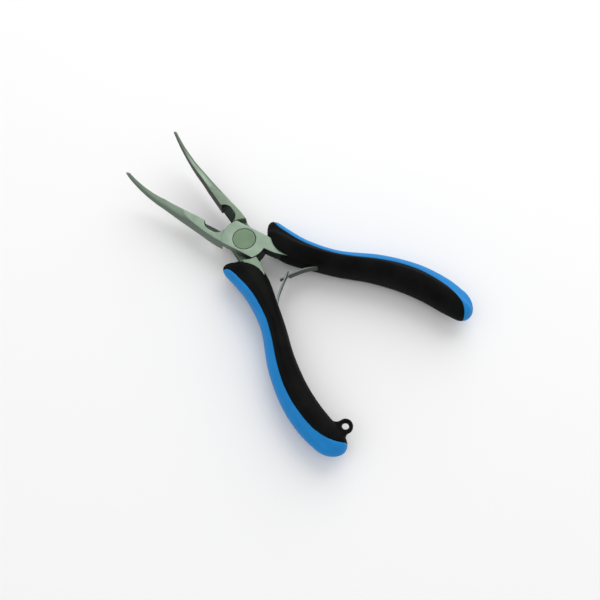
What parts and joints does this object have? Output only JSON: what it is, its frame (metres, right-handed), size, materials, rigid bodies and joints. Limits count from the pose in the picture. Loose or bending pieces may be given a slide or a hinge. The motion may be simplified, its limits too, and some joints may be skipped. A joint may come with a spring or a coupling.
{
  "type": "bent nose pliers",
  "caption": "Small sprung pliers with bent tapering jaws, a side cutter by the joint, a flush rivet and two-colour grips with a lanyard eye.",
  "frame": {"origin": "centre of the pivot rivet at the joint's back face", "axes": "+Y towards the jaw tips on the line that halves the opening, +Z out of the joint's front face, the way the tips bend"},
  "size_m": [0.0882, 0.1436, 0.0201],
  "materials": {
    "satin_steel": "satin, fine ground, slightly oiled",
    "rivet_steel": "satin, a little darker than the levers",
    "spring_steel": "rolled spring strip",
    "black_grip": "soft matte moulding",
    "blue_grip": "semi-matte moulding"
  },
  "bodies": {
    "front_half": {"front_lever": "satin_steel", "pivot_rivet": "rivet_steel", "right_grip_core": "blue_grip", "right_grip_cover": "black_grip", "right_leaf_spring": "spring_steel", "right_spring_rivet": "spring_steel"},
    "rear_half": {"rear_lever": "satin_steel", "left_grip_core": "blue_grip", "left_grip_cover": "black_grip", "left_leaf_spring": "spring_steel", "left_spring_rivet": "spring_steel"}
  },
  "joints": [
    {"name": "pivot", "type": "hinge", "parent": "front_half", "child": "rear_half", "pos_m": [0, 0, 0.0037], "axis": [0, 0, 1], "range_deg": [0, 27.6], "stiffness_Nm_per_rad": 0.8, "deforming": ["right_leaf_spring", "left_leaf_spring"]}
  ]
}
